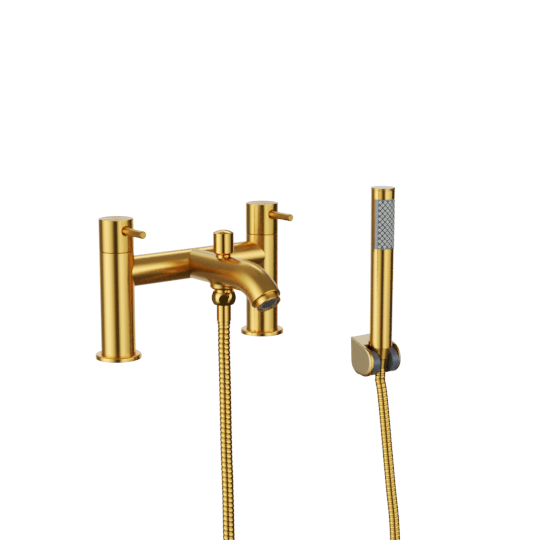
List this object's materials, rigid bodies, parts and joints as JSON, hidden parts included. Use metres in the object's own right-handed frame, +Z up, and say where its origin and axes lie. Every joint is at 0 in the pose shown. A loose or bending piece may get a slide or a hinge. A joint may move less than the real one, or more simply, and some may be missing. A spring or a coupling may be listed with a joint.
{
  "type": "bath shower mixer",
  "caption": "Deck bath shower mixer: pillar taps with lever handles, bridge, curved spout, lift diverter, ribbed hose, stick handset and tilting wall bracket.",
  "frame": {"origin": "on the deck, midway between the two inlet holes", "axes": "+X from the left inlet to the right one, -Y towards the bather, +Z up; the wall behind the bracket is at +Y"},
  "size_m": [0.4125, 0.1796, 0.5013],
  "materials": {
    "gold_brass": "brushed gold",
    "plain_brass": "turned",
    "gold_hose": "ribbed, satin gold",
    "black_rubber": "matte",
    "steel": "plain",
    "ceramic": "lapped ceramic",
    "dark_plastic": "satin",
    "spray_plastic": "soft silicone"
  },
  "bodies": {
    "mixer": {"left_pillar": "gold_brass", "right_pillar": "gold_brass", "left_base_flange": "gold_brass", "right_base_flange": "gold_brass", "base_seals": "black_rubber", "left_valve_body": "plain_brass", "right_valve_body": "plain_brass", "left_fixed_disc": "ceramic", "right_fixed_disc": "ceramic", "seat_seals": "black_rubber", "bridge_tube": "gold_brass", "spout": "gold_brass", "aerator_housing": "gold_brass", "aerator_insert": "dark_plastic", "aerator_washer": "black_rubber", "diverter_bush": "gold_brass", "diverter_spring": "steel", "outlet_nipple": "gold_brass", "hose_washer": "black_rubber", "union_nut": "gold_brass", "mixer_ferrule": "gold_brass", "hose_mixer_stretch": "gold_hose", "hose_coil": "gold_hose", "hose_handset_stretch": "gold_hose", "coil_tie": "black_rubber", "bracket_shell": "gold_brass", "bracket_wall_plate": "dark_plastic", "pivot_pins": "steel"},
    "left_handle": {"left_handle": "gold_brass", "left_lever": "gold_brass", "left_grub_screw": "steel", "left_spindle": "plain_brass", "left_spindle_seal": "black_rubber", "left_moving_disc": "ceramic"},
    "right_handle": {"right_handle": "gold_brass", "right_lever": "gold_brass", "right_grub_screw": "steel", "right_spindle": "plain_brass", "right_spindle_seal": "black_rubber", "right_moving_disc": "ceramic"},
    "diverter": {"diverter_knob": "gold_brass", "diverter_stem": "steel", "diverter_plunger": "plain_brass", "diverter_seal": "black_rubber"},
    "cradle": {"bracket_cradle": "dark_plastic"},
    "hose_end": {"handset_ferrule": "gold_brass"},
    "handset": {"handset_tube": "gold_brass", "handset_cap": "gold_brass", "spray_plate": "spray_plastic", "spray_chamber": "dark_plastic", "handset_neck": "gold_brass", "neck_washer": "black_rubber", "cone_nut": "gold_brass"}
  },
  "joints": [
    {"name": "left_handle_turn", "type": "hinge", "parent": "mixer", "child": "left_handle", "pos_m": [-0.09, 0, 0.125], "axis": [0, 0, 1], "range_deg": [-90, 0]},
    {"name": "right_handle_turn", "type": "hinge", "parent": "mixer", "child": "right_handle", "pos_m": [0.09, 0, 0.125], "axis": [0, 0, 1], "range_deg": [0, 90]},
    {"name": "diverter_lift", "type": "slide", "parent": "mixer", "child": "diverter", "axis": [0, 0, 1], "range_m": [0, 0.008], "stiffness_N_per_m": 350, "springref_m": -0.003, "deforming": ["diverter_spring"]},
    {"name": "cradle_tilt", "type": "hinge", "parent": "mixer", "child": "cradle", "pos_m": [0.2755, 0.0185, -0.065], "axis": [1, 0, 0], "range_deg": [0, 20], "deforming": ["hose_handset_stretch"]},
    {"name": "handset_lift", "type": "slide", "parent": "cradle", "child": "hose_end", "axis": [0, 0, 1], "range_m": [0, 0.04], "deforming": ["hose_handset_stretch"]},
    {"name": "handset_spin", "type": "hinge", "parent": "hose_end", "child": "handset", "pos_m": [0.2755, 0.014, 0.04], "axis": [0, 0, 1], "continuous": true}
  ]
}
